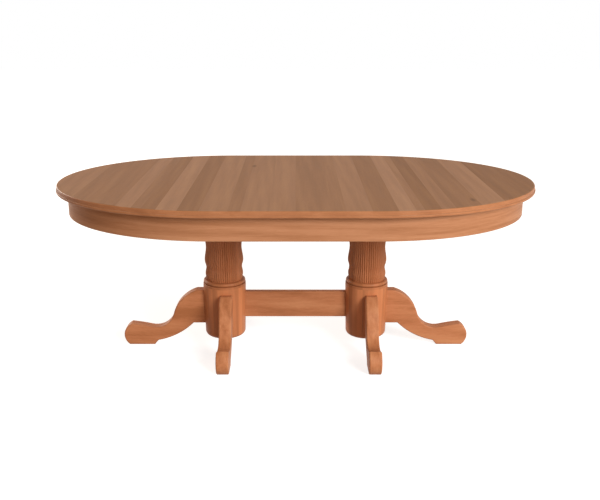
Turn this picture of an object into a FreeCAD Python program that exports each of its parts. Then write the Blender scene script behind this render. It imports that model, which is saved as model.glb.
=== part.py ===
import FreeCAD, Part
import math
import os

import Sketcher

# Double pedestal dining table: an oval top that opens on geared slides, with two leaves in place.
# Millimetres, +Z up, +X along the table, origin on the floor under the middle of the top.

SIZES = {
    # the top
    "table_height": 762,
    "top_width": 1220,
    "end_length": 711,
    "leaf_width": 305,
    "top_thickness": 28,
    "edge_foot": 11,
    "edge_step": 3,
    "edge_crown_bevel": 6,
    "seam_gap": 0.5,
    # the apron under it, with its glue blocks and the battens of the leaves
    "apron_inset": 46,
    "apron_height": 98,
    "apron_thickness": 20,
    "block_length": 60,
    "block_side": 30,
    "batten_offset": 330,
    "batten_width": 45,
    "batten_thickness": 18,
    "batten_end_gap": 24,
    # the flat tongues between the ends and the leaves
    "tongue_length": 38,
    "tongue_stand_out": 17,
    "tongue_width": 60,
    "tongue_thickness": 8,
    "inner_tongue_offset": 260,
    "outer_tongue_offset": 470,
    # the slides
    "slide_offset": 170,
    "slide_travel": 152,
    "rail_width": 34,
    "rail_height": 40,
    "centre_rail_length": 940,
    "moving_rail_overlap": 60,
    "moving_rail_gap": 20,
    "dovetail_mouth": 12,
    "dovetail_root": 19,
    "dovetail_depth": 9,
    "rail_clearance": 0.4,
    # the rack and pinion that keep both ends in step
    "gear_module": 4,
    "gear_teeth": 14,
    "gear_face": 18,
    "gear_backlash": 0.7,
    "rack_back": 4,
    "rack_margin": 24,
    "rack_rail_width": 22,
    "rack_rail_hold": 335,
    "pivot_diameter": 10,
    "pivot_clearance": 0.08,
    "pivot_head_diameter": 18,
    "pivot_head_height": 4,
    "gear_board_width": 90,
    "gear_board_thickness": 18,
    # the plates that join the pedestals to the slides
    "plate_length": 240,
    "plate_width": 480,
    "plate_thickness": 26,
    # the turned pedestals
    "pedestal_spacing": 636,
    "drum_clearance": 49,
    "drum_height": 235,
    "drum_top_diameter": 190,
    "drum_foot_diameter": 180,
    "drum_foot_round": 18,
    "ring_height": 33,
    "ring_diameter": 186,
    "ring_band_diameter": 189,
    "ring_band": 7,
    "tenon_diameter": 60,
    "tenon_length": 60,
    "shaft_foot_diameter": 160,
    "low_swell_diameter": 167,
    "low_swell_rise": 25,
    "pinch_diameter": 158,
    "pinch_rise": 49,
    "high_swell_diameter": 171,
    "high_swell_rise": 78,
    "neck_diameter": 158,
    "neck_rise": 141,
    "upper_swell_diameter": 175,
    "upper_swell_rise": 220,
    "crown_diameter": 157,
    "reed_count": 52,
    "reed_depth": 1.4,
    "quirk": 1,
    # the sawn legs: heights above the floor and reaches from the pedestal's axis
    "leg_thickness": 54,
    "leg_flat": 76,
    "side_leg_offset": 14,
    "leg_tenon_thickness": 26,
    "leg_tenon_depth": 22,
    "leg_tenon_shoulder": 18,
    "shoulder_height": 260,
    "knee_height": 148,
    "ankle_height": 84,
    "toe_height": 99,
    "hock_height": 20,
    "brace_height": 105,
    "knee_radius": 158,
    "toe_radius": 58,
    "belly_radius": 307,
    "outer_shoulder_reach": 125,
    "outer_knee_reach": 231,
    "outer_ankle_reach": 335,
    "outer_toe_reach": 425,
    "outer_sole_reach": 436,
    "outer_heel_reach": 322,
    "outer_hock_reach": 305,
    "outer_brace_reach": 142,
    "side_shoulder_reach": 115,
    "side_knee_reach": 192,
    "side_ankle_reach": 285,
    "side_toe_reach": 337,
    "side_sole_reach": 346,
    "side_heel_reach": 258,
    "side_hock_reach": 243,
    "side_brace_reach": 128,
    # the stretcher between the pedestals
    "stretcher_thickness": 28,
    "stretcher_height": 120,
    "stretcher_rise": 131,
    "stretcher_tenon_thickness": 14,
    # the slack in a glued joint
    "joint_clearance": 0.3,
}
PRESSURE_ANGLE = math.radians(20)
DEDENDUM = 1.25
FOOT_ROUND_SHARE = 1 - math.sqrt(0.5)
SIDES = {"right": 0, "left": 180}
LEG_SPOTS = ("shoulder", "knee", "ankle", "toe", "sole", "heel", "hock", "brace")
BLOCK_ANGLES = (-74, -54, -37, 37, 54, 74)
SHORT_SWELL = 100
FINE = 0.01
BEAD_FACES = 4
BEAD_SIDES = 36
STAVES = 24
UP = FreeCAD.Vector(0, 0, 1)

doc = FreeCAD.newDocument("DoublePedestalTable")
sheet = doc.addObject("Spreadsheet::Sheet", "Sizes")


class Size:
    """A length that keeps its number together with the sheet formula it comes from."""

    def __init__(self, number, formula):
        self.number = number
        self.formula = formula

    def joined(self, sign, other, number):
        return Size(number, f"({self.formula} {sign} {as_size(other).formula})")

    def __add__(self, other):
        return self.joined("+", other, self.number + as_size(other).number)

    def __sub__(self, other):
        return self.joined("-", other, self.number - as_size(other).number)

    def __mul__(self, other):
        return self.joined("*", other, self.number * as_size(other).number)

    def __truediv__(self, other):
        return self.joined("/", other, self.number / as_size(other).number)

    def __neg__(self):
        return Size(-self.number, f"(-1 * {self.formula})")

    def root(self):
        return Size(math.sqrt(self.number), f"sqrt({self.formula})")


def as_size(value):
    return value if isinstance(value, Size) else Size(value, repr(value))


class Sizes:
    """Every driving dimension by its name."""


s = Sizes()
for row, (alias, number) in enumerate(SIZES.items(), start=1):
    sheet.set(f"A{row}", alias)
    sheet.set(f"B{row}", str(number))
    sheet.setAlias(f"B{row}", alias)
    setattr(s, alias, Size(number, f"Sizes.{alias}"))
doc.recompute()

ZERO = Size(0, "0")
half_width = s.top_width / 2
top_under = s.table_height - s.top_thickness
edge_middle = top_under + s.edge_foot
rail_base = top_under - s.rail_height
plate_base = rail_base - s.plate_thickness
pedestal_x = s.pedestal_spacing / 2
drum_top = s.drum_clearance + s.drum_height
shaft_foot = drum_top + s.ring_height
apron_base = top_under - s.apron_height
apron_face = half_width - s.apron_inset
apron_inner_x = s.end_length - s.apron_inset - s.apron_thickness
apron_inner_y = apron_face - s.apron_thickness
tongue_base = top_under + s.top_thickness / 2 - s.tongue_thickness / 2
pitch_radius = s.gear_module * s.gear_teeth / 2
gear_base = rail_base + s.rail_clearance
tooth_pitch = math.pi * s.gear_module.number

sub_parts = []


def bind(item, prop, value):
    """Ties one property of an object to a formula of the sheet."""
    item.setExpression(prop, as_size(value).formula)


def keep(item, label):
    """Makes an object one sub-part of the table."""
    item.Label = label
    sub_parts.append(item)
    return item


def place(item, x, y, z, turn=0):
    """Puts an object at x, y, z, after half a turn about the middle of the table where turn is 180."""
    if turn:
        item.Placement.Rotation = FreeCAD.Rotation(UP, turn).multiply(item.Placement.Rotation)
    bind(item, "Placement.Base.x", -x if turn else x)
    bind(item, "Placement.Base.y", -y if turn else y)
    bind(item, "Placement.Base.z", z)
    return item


def block(length, width, height, x, y, z, turn=0):
    """A board by its three sizes, with its lowest corner at x, y, z."""
    item = doc.addObject("Part::Box", "Board")
    bind(item, "Length", length)
    bind(item, "Width", width)
    bind(item, "Height", height)
    return place(item, x, y, z, turn)


def rod(diameter, length, x, y, z):
    """An upright round bar that starts at x, y, z."""
    item = doc.addObject("Part::Cylinder", "Rod")
    bind(item, "Radius", diameter / 2)
    bind(item, "Height", length)
    return place(item, x, y, z)


def joined(kind, items):
    item = doc.addObject(kind, "Joined")
    item.Shapes = items
    return item


def group(items):
    """Like pieces that share one node, each still its own solid."""
    item = doc.addObject("Part::Compound", "Group")
    item.Links = items
    return item


def cut(base, tools):
    item = doc.addObject("Part::Cut", "Cut")
    item.Base = base
    item.Tool = tools[0] if len(tools) == 1 else joined("Part::MultiFuse", tools)
    return item


def bevelled(base):
    """Bevels the crown of the top's stepped rim."""
    doc.recompute()
    height = s.table_height.number
    reach = (half_width - s.edge_step).number
    bevel = s.edge_crown_bevel.number
    picked = []
    for index, edge in enumerate(base.Shape.Edges, start=1):
        box = edge.BoundBox
        level = max(abs(box.ZMin - height), abs(box.ZMax - height)) < FINE
        outermost = abs(max(box.YMax, -box.YMin) - reach) < FINE
        if level and outermost and box.XLength > FINE:
            picked.append((index, bevel, bevel))
    item = doc.addObject("Part::Chamfer", "Bevelled")
    item.Base = base
    item.Edges = picked
    return item


def turn_of(start, finish):
    return math.atan2(finish.y - start.y, finish.x - start.x)


def arc_between(start, finish, radius, side):
    """An arc of less than a half circle. It turns left where side is 1, and right where side is -1."""
    chord = finish.sub(start)
    middle = start.add(finish).multiply(0.5)
    left = FreeCAD.Vector(-chord.y, chord.x, 0).normalize()
    centre = middle.add(left.multiply(side * math.sqrt(radius**2 - (chord.Length / 2) ** 2)))
    first, last = (start, finish) if side > 0 else (finish, start)
    return Part.ArcOfCircle(Part.Circle(centre, UP, radius), turn_of(centre, first), turn_of(centre, last))


def outline(body, plane, points, arcs=None):
    """A closed sketch on an origin plane of a body. points are pairs of sizes.
    arcs gives, for the stretch that leaves a point, its radius and the side it turns to.
    A stretch with no radius is an arc tangent to the stretch before it."""
    arcs = arcs or {}
    sketch = body.newObject("Sketcher::SketchObject", "Outline")
    support = next(feature for feature in body.Origin.OriginFeatures if feature.Role == plane)
    sketch.AttachmentSupport = [(support, "")]
    sketch.MapMode = "FlatFace"
    spots = [FreeCAD.Vector(across.number, up.number, 0) for across, up in points]
    ends = []
    heading = 0
    for index, start in enumerate(spots):
        finish = spots[(index + 1) % len(spots)]
        chord = turn_of(start, finish)
        if index not in arcs:
            sketch.addGeometry(Part.LineSegment(start, finish), False)
            ends.append((index, 1, 2))
            heading = chord
            continue
        radius, side = arcs[index]
        if radius is None:
            bend = math.remainder(chord - heading, 2 * math.pi)
            side = 1 if bend > 0 else -1
            length = finish.sub(start).Length / (2 * math.sin(abs(bend)))
        else:
            length = radius.number
            bend = side * math.asin(finish.sub(start).Length / (2 * length))
        sketch.addGeometry(arc_between(start, finish, length, side), False)
        ends.append((index, 1, 2) if side > 0 else (index, 2, 1))
        heading = chord + bend
    for index, (curve, first, last) in enumerate(ends):
        after, after_first, _ = ends[(index + 1) % len(ends)]
        tangent = after in arcs and arcs[after][0] is None
        meet = "Tangent" if tangent else "Coincident"
        sketch.addConstraint(Sketcher.Constraint(meet, curve, last, after, after_first))
        across, up = points[index]
        for kind, axis, value in (("DistanceX", -2, across), ("DistanceY", -1, up)):
            if value is ZERO:
                sketch.addConstraint(Sketcher.Constraint("PointOnObject", curve, first, axis))
                continue
            rule = sketch.addConstraint(Sketcher.Constraint(kind, -1, 1, curve, first, value.number))
            bind(sketch, f"Constraints[{rule}]", value)
        if index in arcs and arcs[index][0] is not None:
            radius = arcs[index][0]
            rule = sketch.addConstraint(Sketcher.Constraint("Radius", curve, radius.number))
            bind(sketch, f"Constraints[{rule}]", radius)
    return sketch


def feature(body, kind, sketch, length=None, symmetric=False, backwards=False):
    item = body.newObject("PartDesign::" + kind, kind)
    item.Profile = sketch
    if length is not None:
        bind(item, "Length", length)
    if symmetric:
        item.SideType = "Symmetric"
    item.Reversed = backwards
    return item


def new_body():
    return doc.addObject("PartDesign::Body", "Piece")


def upright_rectangle(near, far, low, high):
    return [(near, low), (far, low), (far, high), (near, high)]


def radial_block(near, far, width, low, high, x, angle):
    """A board that points away from a pedestal's axis, from one reach and height to another."""
    along = round(math.cos(math.radians(angle)))
    across = round(math.sin(math.radians(angle)))
    item = doc.addObject("Part::Box", "Board")
    bind(item, "Length", far - near)
    bind(item, "Width", width)
    bind(item, "Height", high - low)
    item.Placement.Rotation = FreeCAD.Rotation(UP, angle)
    corner_x = x + near * along + width / 2 * across
    corner_y = near * across - width / 2 * along
    return place(item, corner_x, corner_y, low)


def leg_x(x, angle):
    """The middle of a leg along the table. Front and back legs stand a little to either side of the axis."""
    return x - s.side_leg_offset * round(math.sin(math.radians(angle)))


def seat(low, high, thickness, tenon, x, angle):
    """What is cut for a leg or the stretcher: a flat as big as its end, and a mortise for its tenon."""
    slack = s.joint_clearance
    outside = s.drum_top_diameter / 2 + slack
    mortise_low = low + s.leg_tenon_shoulder - slack
    mortise_high = high - s.leg_tenon_shoulder + slack
    floor = s.leg_flat - s.leg_tenon_depth - slack
    return [
        radial_block(s.leg_flat, outside, thickness, low, high, x, angle),
        radial_block(floor, s.leg_flat, tenon + slack * 2, mortise_low, mortise_high, x, angle),
    ]


# Pedestal drum: coopered from tapered staves, with housings for the legs and a socket for the shaft
def drum(side, x, turn):
    foot_radius = s.drum_foot_diameter / 2
    arris = s.drum_foot_round * FOOT_ROUND_SHARE
    levels = [
        (foot_radius - s.drum_foot_round, s.drum_clearance),
        (foot_radius - arris, s.drum_clearance + arris),
        (foot_radius, s.drum_clearance + s.drum_foot_round),
        (s.drum_top_diameter / 2, drum_top),
    ]
    rings = []
    for radius, height in levels:
        ring = doc.addObject("Part::RegularPolygon", "Ring")
        ring.Polygon = STAVES
        bind(ring, "Circumradius", radius)
        rings.append(place(ring, x, ZERO, height))
    barrel = doc.addObject("Part::Loft", "Barrel")
    barrel.Sections = rings
    barrel.Solid = True
    barrel.Ruled = True
    barrel.Linearize = True
    deep = s.tenon_length + s.joint_clearance
    cuts = [rod(s.tenon_diameter + s.joint_clearance * 2, deep, x, ZERO, drum_top - deep)]
    for angle in (turn, 90, -90):
        cuts += seat(
            s.brace_height, s.shoulder_height, s.leg_thickness, s.leg_tenon_thickness, leg_x(x, angle), angle
        )
    low = s.stretcher_rise
    high = low + s.stretcher_height
    cuts += seat(low, high, s.stretcher_thickness, s.stretcher_tenon_thickness, x, turn + 180)
    return keep(cut(barrel, cuts), f"{side}_drum")


def section(height, corners, *reaches):
    """The corners of one cross section of the shaft, which take the reaches in turn."""
    spots = []
    for index in range(corners):
        reach = reaches[index % len(reaches)]
        angle = 2 * math.pi * index / corners
        spots.append(FreeCAD.Vector(math.cos(angle) * reach, math.sin(angle) * reach, height))
    return spots + spots[:1]


def faceted(sections):
    """A solid with flat facets between the corners of one section and those of the next."""
    loops = [sections[0], sections[-1]]
    for low, high in zip(sections, sections[1:]):
        for spot in range(len(low) - 1):
            loops.append([low[spot], low[spot + 1], high[spot + 1], high[spot], low[spot]])
    shell = Part.makeShell([Part.Face(Part.makePolygon(loop)) for loop in loops])
    shell.sewShape()
    return Part.makeSolid(shell)


def bead():
    """The plain foot of the shaft, upwards: a narrow band, a quirk, and a round bead."""
    base = -s.ring_height.number
    band = base + s.ring_band.number
    band_radius = s.ring_band_diameter.number / 2
    start = band + s.quirk.number
    small = -start / 2
    centre = s.ring_diameter.number / 2 - small
    sections = [section(base, BEAD_SIDES, band_radius), section(band, BEAD_SIDES, band_radius)]
    for step in range(BEAD_FACES + 1):
        angle = math.pi * (step / BEAD_FACES - 0.5)
        height = start + small + small * math.sin(angle)
        sections.append(section(height, BEAD_SIDES, centre + small * math.cos(angle)))
    return faceted(sections)


# Shaft: turned in three swells over a bead, then reeded, with a tenon at its foot
def shaft(side, x):
    length = (plate_base - shaft_foot).number
    stations = [
        (0, s.shaft_foot_diameter.number),
        (s.low_swell_rise.number, s.low_swell_diameter.number),
        (s.pinch_rise.number, s.pinch_diameter.number),
        (s.high_swell_rise.number, s.high_swell_diameter.number),
        (s.neck_rise.number, s.neck_diameter.number),
        (s.upper_swell_rise.number, s.upper_swell_diameter.number),
        (length, s.crown_diameter.number),
    ]
    groove = 1 - (s.reed_depth / (s.upper_swell_diameter / 2)).number
    corners = s.reed_count.number * 2
    foot = stations[0][1] / 2
    sections = [section(0, corners, foot * groove, foot)]
    for (low, narrow), (high, wide) in zip(stations, stations[1:]):
        steps = 2 if high - low > SHORT_SWELL else 1
        for step in range(1, steps + 1):
            share = step / steps
            ease = (1 - math.cos(math.pi * share)) / 2
            radius = (narrow + (wide - narrow) * ease) / 2
            sections.append(section(low + (high - low) * share, corners, radius * groove, radius))
    reeded = faceted(sections)
    deep = s.ring_height.number + s.tenon_length.number
    tenon = Part.makeCylinder(s.tenon_diameter.number / 2, deep, FreeCAD.Vector(0, 0, -deep))
    item = doc.addObject("Part::Feature", "Shaft")
    item.Shape = reeded.fuse([bead(), tenon])
    item.Placement.Base = FreeCAD.Vector(x.number, 0, shaft_foot.number)
    return keep(item, f"{side}_shaft")


# Leg: sawn from a thick board in one S curve, and tenoned into the drum
def leg(side, name, kind, x, angle):
    reach = {spot: getattr(s, f"{kind}_{spot}_reach") for spot in LEG_SPOTS}
    points = [
        (s.leg_flat, s.brace_height),
        (s.leg_flat, s.shoulder_height),
        (reach["shoulder"], s.shoulder_height),
        (reach["knee"], s.knee_height),
        (reach["ankle"], s.ankle_height),
        (reach["toe"], s.toe_height),
        (reach["sole"], ZERO),
        (reach["heel"], ZERO),
        (reach["hock"], s.hock_height),
        (reach["brace"], s.brace_height),
    ]
    tangent = (None, 0)
    arcs = {2: (s.knee_radius, -1), 3: tangent, 4: tangent, 5: (s.toe_radius, -1), 8: (s.belly_radius, -1)}
    body = new_body()
    feature(body, "Pad", outline(body, "XZ_Plane", points, arcs), s.leg_thickness, True)
    tenon_low = s.brace_height + s.leg_tenon_shoulder
    tenon_high = s.shoulder_height - s.leg_tenon_shoulder
    tenon = upright_rectangle(s.leg_flat - s.leg_tenon_depth, s.leg_flat, tenon_low, tenon_high)
    feature(body, "Pad", outline(body, "XZ_Plane", tenon), s.leg_tenon_thickness, True)
    body.Placement.Rotation = FreeCAD.Rotation(UP, angle)
    place(body, leg_x(x, angle), ZERO, ZERO)
    return keep(body, f"{side}_{name}_leg")


# Top plate: a board on the crown of the shaft that carries the slides
def top_plate(side, x):
    board = block(
        s.plate_length, s.plate_width, s.plate_thickness,
        x - s.plate_length / 2, -s.plate_width / 2, plate_base,
    )
    return keep(board, f"{side}_top_plate")


# Stretcher: a plain board on edge between the two drums, with a tenon at each end
def stretcher():
    reach = pedestal_x - s.leg_flat
    board = block(
        reach * 2, s.stretcher_thickness, s.stretcher_height,
        -reach, -s.stretcher_thickness / 2, s.stretcher_rise,
    )
    tip = reach + s.leg_tenon_depth
    tenon = block(
        tip * 2, s.stretcher_tenon_thickness, s.stretcher_height - s.leg_tenon_shoulder * 2,
        -tip, -s.stretcher_tenon_thickness / 2, s.stretcher_rise + s.leg_tenon_shoulder,
    )
    return keep(joined("Part::MultiFuse", [board, tenon]), "stretcher")


def slide_body(points, length):
    body = new_body()
    feature(body, "Pad", outline(body, "YZ_Plane", points), length)
    return body


# Centre rail: fixed across both top plates, with a dovetail groove in each side
def centre_rail(name, y):
    wide = s.rail_width
    deep = s.rail_height - s.rail_clearance
    middle = s.rail_height / 2
    mouth = s.dovetail_mouth / 2
    root = s.dovetail_root / 2
    points = [
        (ZERO, ZERO),
        (wide, ZERO),
        (wide, middle - mouth),
        (wide - s.dovetail_depth, middle - root),
        (wide - s.dovetail_depth, middle + root),
        (wide, middle + mouth),
        (wide, deep),
        (ZERO, deep),
        (ZERO, middle + mouth),
        (s.dovetail_depth, middle + root),
        (s.dovetail_depth, middle - root),
        (ZERO, middle - mouth),
    ]
    body = slide_body(points, s.centre_rail_length)
    place(body, -s.centre_rail_length / 2, y - wide / 2, rail_base)
    return keep(body, f"{name}_centre_rail")


# Moving rail: screwed under one end of the top, with a dovetail tongue that runs in the centre rail
def moving_rail(label, y, turn):
    face = s.dovetail_depth - s.rail_clearance
    wide = face + s.rail_width
    deep = s.rail_height - s.rail_clearance
    middle = s.rail_height / 2 - s.rail_clearance
    mouth = s.dovetail_mouth / 2 - s.rail_clearance
    root = s.dovetail_root / 2 - s.rail_clearance
    points = [
        (ZERO, middle - root),
        (face, middle - mouth),
        (face, ZERO),
        (wide, ZERO),
        (wide, deep),
        (face, deep),
        (face, middle + mouth),
        (ZERO, middle + root),
    ]
    far_side = (s.slide_offset + s.rail_clearance + s.rail_width * 1.5) / apron_inner_y
    apron_reach = apron_inner_x * (as_size(1) - far_side * far_side).root()
    body = slide_body(points, s.moving_rail_overlap + s.leaf_width + apron_reach - s.moving_rail_gap)
    near = y + s.rail_width / 2 + s.rail_clearance - face
    place(body, -s.moving_rail_overlap, near, rail_base + s.rail_clearance, turn)
    return keep(body, label)


def oval_end(semi_x, semi_y, base, height, turn):
    """Half of an oval slab: an ellipse, drawn round the seam where the leaves begin and cut square there."""
    rim = doc.addObject("Part::Ellipse", "Rim")
    lengthwise = semi_x.number >= semi_y.number
    bind(rim, "MajorRadius", semi_x if lengthwise else semi_y)
    bind(rim, "MinorRadius", semi_y if lengthwise else semi_x)
    rim.Placement.Rotation = FreeCAD.Rotation(UP, 0 if lengthwise else 90)
    place(rim, s.leaf_width, ZERO, base, turn)
    slab = doc.addObject("Part::Extrusion", "Slab")
    slab.Base = rim
    slab.DirMode = "Custom"
    slab.Dir = UP
    slab.Solid = True
    bind(slab, "LengthFwd", height)
    half = doc.addObject("Part::Common", "HalfSlab")
    half.Base = slab
    half.Tool = block(semi_x, semi_y * 2, height, s.leaf_width, -semi_y, base, turn)
    return half


# End of the top: half an oval of edge-glued boards, with a stepped and bevelled rim and mortises in its seam
def end_panel(side, turn):
    crown = oval_end(s.end_length - s.edge_step, half_width - s.edge_step, edge_middle, crown_height, turn)
    foot = oval_end(s.end_length, half_width, top_under, s.edge_foot, turn)
    slab = bevelled(joined("Part::MultiFuse", [foot, crown]))
    slack = s.joint_clearance
    depth = s.tongue_length - s.tongue_stand_out + slack
    mortises = []
    for y in tongue_offsets:
        mortises.append(block(
            depth, s.tongue_width + slack * 2, s.tongue_thickness + slack * 2,
            s.leaf_width, y - s.tongue_width / 2 - slack, tongue_base - slack, turn,
        ))
    return keep(cut(slab, mortises), f"{side}_end_panel")


# Seam tongues: flat hardwood keys glued into an end, which line it up with its leaf
def end_tongues(side, turn):
    start = s.leaf_width - s.tongue_stand_out
    keys = []
    for y in tongue_offsets:
        keys.append(block(
            s.tongue_length, s.tongue_width, s.tongue_thickness,
            start, y - s.tongue_width / 2, tongue_base, turn,
        ))
    return keep(group(keys), f"{side}_end_tongues")


# End apron: a band bent round the half oval, under the panel
def end_apron(side, turn):
    outer = oval_end(s.end_length - s.apron_inset, apron_face, apron_base, s.apron_height, turn)
    inner = oval_end(apron_inner_x, apron_inner_y, apron_base, s.apron_height, turn)
    return keep(cut(outer, [inner]), f"{side}_end_apron")


# Glue blocks: short square sticks in the corner between apron and panel
def end_blocks(side, turn):
    semi_x = apron_inner_x.number
    semi_y = apron_inner_y.number
    length = s.block_length.number
    sticks = []
    for degrees in BLOCK_ANGLES:
        angle = math.radians(degrees)
        slope = math.atan2(semi_y * math.cos(angle), -semi_x * math.sin(angle))
        tangent = FreeCAD.Vector(math.cos(slope), math.sin(slope), 0)
        bend = (semi_x * math.sin(angle)) ** 2 + (semi_y * math.cos(angle)) ** 2
        sag = length**2 / 8 * semi_x * semi_y / bend**1.5 + s.joint_clearance.number
        rim = FreeCAD.Vector(semi_x * math.cos(angle), semi_y * math.sin(angle), 0)
        inward = FreeCAD.Vector(-tangent.y, tangent.x, 0)
        corner = rim + inward * sag - tangent * (length / 2)
        corner += FreeCAD.Vector(s.leaf_width.number, 0, (top_under - s.block_side).number)
        stick = doc.addObject("Part::Box", "Stick")
        bind(stick, "Length", s.block_length)
        bind(stick, "Width", s.block_side)
        bind(stick, "Height", s.block_side)
        spot = FreeCAD.Placement(corner, FreeCAD.Rotation(UP, math.degrees(slope)))
        stick.Placement = FreeCAD.Placement(FreeCAD.Vector(), FreeCAD.Rotation(UP, turn)).multiply(spot)
        sticks.append(stick)
    return keep(group(sticks), f"{side}_end_blocks")


# Leaf: a straight panel with the same rim at both ends, slotted underneath to drop over the tongues
def leaf_panel(side, turn):
    crown = block(
        leaf_length, s.top_width - s.edge_step * 2, crown_height,
        leaf_start, s.edge_step - half_width, edge_middle, turn,
    )
    foot = block(
        leaf_length, s.top_width, s.edge_foot - s.rail_clearance,
        leaf_start, -half_width, leaf_under, turn,
    )
    slab = bevelled(joined("Part::MultiFuse", [foot, crown]))
    slack = s.joint_clearance * 2
    depth = s.tongue_stand_out + slack
    height = tongue_base + s.tongue_thickness + slack - leaf_under
    slots = []
    for y in tongue_offsets:
        slots.append(block(
            depth, s.tongue_width + slack * 2, height,
            leaf_start + leaf_length - depth, y - s.tongue_width / 2 - slack, leaf_under, turn,
        ))
    return keep(cut(slab, slots), f"{side}_leaf_panel")


def leaf_apron(side, name, y, turn):
    height = leaf_under - apron_base
    strip = block(leaf_length, s.apron_thickness, height, leaf_start, y, apron_base, turn)
    return keep(strip, f"{side}_leaf_{name}_apron")


# Leaf battens: two cleats screwed across the boards of a leaf to keep it flat
def leaf_battens(side, turn):
    length = leaf_length - s.batten_end_gap * 2
    cleats = []
    for y in (s.batten_offset, -s.batten_offset):
        cleats.append(block(
            length, s.batten_width, s.batten_thickness,
            leaf_start + s.batten_end_gap, y - s.batten_width / 2, leaf_under - s.batten_thickness, turn,
        ))
    return keep(group(cleats), f"{side}_leaf_battens")


def leaf_blocks(side, turn):
    x = leaf_start + leaf_length / 2 - s.block_length / 2
    z = leaf_under - s.block_side
    sticks = []
    for y in (apron_inner_y - s.block_side, -apron_inner_y):
        sticks.append(block(s.block_length, s.block_side, s.block_side, x, y, z, turn))
    return keep(group(sticks), f"{side}_leaf_blocks")


# Rack: a toothed strip on the inner side of its rail, long enough to stay in mesh from closed to fully open
def rack(side, turn):
    module = s.gear_module.number
    pitch_line = pitch_radius.number
    tip = pitch_line - module
    root = pitch_line + module * DEDENDUM
    back = root + s.rack_back.number
    waist = (tooth_pitch - s.gear_backlash.number) / 2
    low = -math.ceil((s.slide_travel + s.rack_margin).number / tooth_pitch)
    high = math.ceil((s.leaf_width + s.rack_margin).number / tooth_pitch)
    slope = math.tan(PRESSURE_ANGLE)
    tip_half = waist / 2 - module * slope
    root_half = waist / 2 + module * DEDENDUM * slope
    spots = [(low * tooth_pitch, back), (low * tooth_pitch, root)]
    for tooth in range(low, high):
        centre = (tooth + 0.5) * tooth_pitch
        spots += [(centre - root_half, root), (centre - tip_half, tip)]
        spots += [(centre + tip_half, tip), (centre + root_half, root)]
    spots += [(high * tooth_pitch, root), (high * tooth_pitch, back)]
    corners = [FreeCAD.Vector(x, y, gear_base.number) for x, y in spots]
    face = Part.Face(Part.makePolygon(corners + corners[:1]))
    item = doc.addObject("Part::Feature", "Rack")
    item.Shape = face.extrude(UP * s.gear_face.number)
    item.Placement = FreeCAD.Placement(FreeCAD.Vector(), FreeCAD.Rotation(UP, turn))
    return keep(item, f"{side}_rack")


def rack_rail(side, turn):
    near = pitch_radius + s.gear_module * DEDENDUM + s.rack_back
    start = s.slide_travel + s.rack_margin + s.gear_module * 4
    board = block(
        start + s.leaf_width + s.rack_rail_hold, s.rack_rail_width, top_under - gear_base,
        -start, near, gear_base, turn,
    )
    return keep(board, f"{side}_rack_rail")


def involute(base_radius, radius, lead, side):
    """A point of a tooth's flank at a radius. lead is the angle where the flank leaves the base circle."""
    roll = math.sqrt(max((radius / base_radius) ** 2 - 1, 0))
    angle = math.pi / 2 + side * (lead - (roll - math.atan(roll)))
    return FreeCAD.Vector(radius * math.cos(angle), radius * math.sin(angle), 0)


# Pinion: one gear between the two racks, so that pulling one end of the top moves the other
def pinion():
    module = s.gear_module.number
    count = s.gear_teeth.number
    pitch = pitch_radius.number
    base_radius = pitch * math.cos(PRESSURE_ANGLE)
    tip = pitch + module
    root = pitch - module * DEDENDUM
    waist = (tooth_pitch - s.gear_backlash.number) / 2
    lead = waist / 2 / pitch + math.tan(PRESSURE_ANGLE) - PRESSURE_ANGLE
    flank = max(base_radius, root)
    radii = [flank, pitch, tip]
    spots = []
    for tooth in range(count):
        turned = FreeCAD.Rotation(UP, -360 * tooth / count)
        rise = [involute(base_radius, radius, lead, 1) for radius in radii]
        fall = [involute(base_radius, radius, lead, -1) for radius in reversed(radii)]
        foot_in = FreeCAD.Vector(rise[0]).normalize() * root
        foot_out = FreeCAD.Vector(fall[-1]).normalize() * root
        spots += [turned.multVec(spot) for spot in [foot_in, *rise, *fall, foot_out]]
    face = Part.Face(Part.makePolygon(spots + spots[:1]))
    bore = Part.makeCylinder((s.pivot_diameter / 2 + s.pivot_clearance).number, s.gear_face.number)
    item = doc.addObject("Part::Feature", "Pinion")
    item.Shape = face.extrude(UP * s.gear_face.number).cut(bore)
    item.Placement.Base = FreeCAD.Vector(0, 0, gear_base.number)
    return keep(item, "pinion")


# Gear board: bridges the undersides of the two centre rails and carries the pinion's pivot
def gear_board():
    reach = s.slide_offset + s.rail_width / 2
    base = rail_base - s.gear_board_thickness
    board = block(
        s.gear_board_width, reach * 2, s.gear_board_thickness, -s.gear_board_width / 2, -reach, base
    )
    drill = rod(s.pivot_diameter + s.joint_clearance * 2, s.gear_board_thickness, ZERO, ZERO, base)
    return keep(cut(board, [drill]), "gear_board")


# Pivot: a hexagon-headed bolt through the gear board that the pinion turns on
def pivot():
    shank_base = rail_base - s.gear_board_thickness
    head = gear_base + s.gear_face + s.joint_clearance
    shank = rod(s.pivot_diameter, head - shank_base, ZERO, ZERO, shank_base)
    cap = doc.addObject("Part::Prism", "Head")
    cap.Polygon = 6
    bind(cap, "Circumradius", s.pivot_head_diameter / 2)
    bind(cap, "Height", s.pivot_head_height)
    place(cap, ZERO, ZERO, head)
    return keep(joined("Part::MultiFuse", [shank, cap]), "pivot")


crown_height = s.table_height - edge_middle
leaf_under = top_under + s.rail_clearance
leaf_start = s.seam_gap / 2
leaf_length = s.leaf_width - s.seam_gap - leaf_start
tongue_offsets = []
for offset in (s.inner_tongue_offset, s.outer_tongue_offset):
    tongue_offsets += [offset, -offset]

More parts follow.
